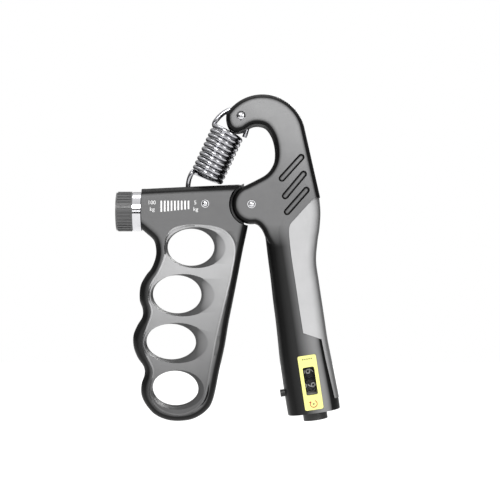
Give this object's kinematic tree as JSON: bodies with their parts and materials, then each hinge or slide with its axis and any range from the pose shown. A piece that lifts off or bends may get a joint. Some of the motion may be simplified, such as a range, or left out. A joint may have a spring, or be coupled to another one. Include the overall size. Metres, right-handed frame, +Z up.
{
  "type": "finger exerciser",
  "caption": "Hand grip exerciser: palm handle with arched head, ringed finger handle on a pivot, extension spring, resistance knob with lead screw, and squeeze counter",
  "frame": {"origin": "centre of the overall box in plan, at its lowest point", "axes": "+Z up with the handles hanging down, +X from the fingers to the palm, +Y across the handles to the back"},
  "size_m": [0.1133, 0.0266, 0.1644],
  "materials": {
    "shell": "fine moulded grain, dark grey",
    "pad": "soft satin light grey",
    "bezel": "pale yellow printed panel",
    "window": "smoked clear window",
    "fastener": "zinc plated",
    "pin": "polished pin",
    "washer": "natural nylon",
    "inner": "moulded",
    "frame": "fine moulded grain, mid grey",
    "bush": "turned",
    "knob": "ribbed moulding",
    "ring": "polished ring",
    "screw": "rolled thread",
    "slider": "moulded",
    "spring": "polished spring wire",
    "wheel": "black wheel with printed figures",
    "reset": "moulded"
  },
  "bodies": {
    "palm_handle": {"palm_shell_front": "shell", "palm_shell_back": "shell", "palm_pad": "pad", "counter_bezel": "bezel", "counter_window": "window", "case_screw_1": "fastener", "case_screw_2": "fastener", "case_screw_3": "fastener", "main_pivot_pin": "pin", "upper_spring_pin": "pin", "pivot_washer_front": "washer", "pivot_washer_back": "washer", "counter_frame": "inner"},
    "finger_handle": {"finger_frame": "frame", "beam_rivet_front": "pin", "beam_rivet_back": "pin", "pivot_bush": "bush"},
    "adjuster": {"resistance_knob": "knob", "knob_ring": "ring", "lead_screw": "screw", "thrust_clip": "screw"},
    "slider": {"slider": "slider", "anchor_pin": "pin"},
    "spring_head": {"spring_top": "spring"},
    "spring_tail": {"spring_bottom": "spring"},
    "units_counter": {"units_wheel": "wheel", "ratchet_wheel": "inner"},
    "tens_counter": {"tens_wheel": "wheel"},
    "reset": {"reset_knob": "reset", "counter_shaft": "screw"},
    "plunger": {"counter_plunger": "reset"}
  },
  "joints": [
    {"name": "squeeze", "type": "hinge", "parent": "palm_handle", "child": "finger_handle", "pos_m": [0.01175, 0, 0.1092], "axis": [0, -1, 0], "range_deg": [0, 20], "stiffness_Nm_per_rad": 8, "springref_deg": -8.59},
    {"name": "spring_swing", "type": "hinge", "parent": "palm_handle", "child": "spring_head", "pos_m": [0.00655, 0, 0.1534], "axis": [0, -1, 0], "range_deg": [-0.5, 5], "deforming": ["spring_top"]},
    {"name": "spring_stretch", "type": "slide", "parent": "spring_head", "child": "spring_tail", "axis": [-0.4238, 0, -0.9058], "range_m": [0, 0.0085], "deforming": ["spring_bottom"]},
    {"name": "knob_turn", "type": "hinge", "parent": "finger_handle", "child": "adjuster", "pos_m": [-0.0522, 0, 0.1057], "axis": [1, 0, 0], "range_deg": [0, 3690]},
    {"name": "slider_travel", "type": "slide", "parent": "finger_handle", "child": "slider", "axis": [-1, 0, 0], "range_m": [0, 0.0205]},
    {"name": "units_turn", "type": "hinge", "parent": "palm_handle", "child": "units_counter", "pos_m": [0.0436, -0.0032, 0.0049], "axis": [0.1478, 0, -0.989], "continuous": true},
    {"name": "tens_turn", "type": "hinge", "parent": "palm_handle", "child": "tens_counter", "pos_m": [0.0436, -0.0032, 0.0049], "axis": [0.1478, 0, -0.989], "continuous": true},
    {"name": "reset_turn", "type": "hinge", "parent": "palm_handle", "child": "reset", "pos_m": [0.0436, -0.0032, 0.0049], "axis": [0.1478, 0, -0.989], "continuous": true},
    {"name": "plunger_press", "type": "slide", "parent": "palm_handle", "child": "plunger", "axis": [0.989, 0, 0.1478], "range_m": [0, 0.0024]}
  ],
  "couplings": [
    {"joint": "spring_swing", "follows": "squeeze", "ratio": 0.204},
    {"joint": "spring_stretch", "follows": "squeeze", "m_per_rad": 0.02217},
    {"joint": "plunger_press", "follows": "squeeze", "m_per_rad": 0.006},
    {"joint": "slider_travel", "follows": "knob_turn", "m_per_rad": 0.00031831},
    {"joint": "tens_turn", "follows": "units_turn", "ratio": 0.1}
  ]
}
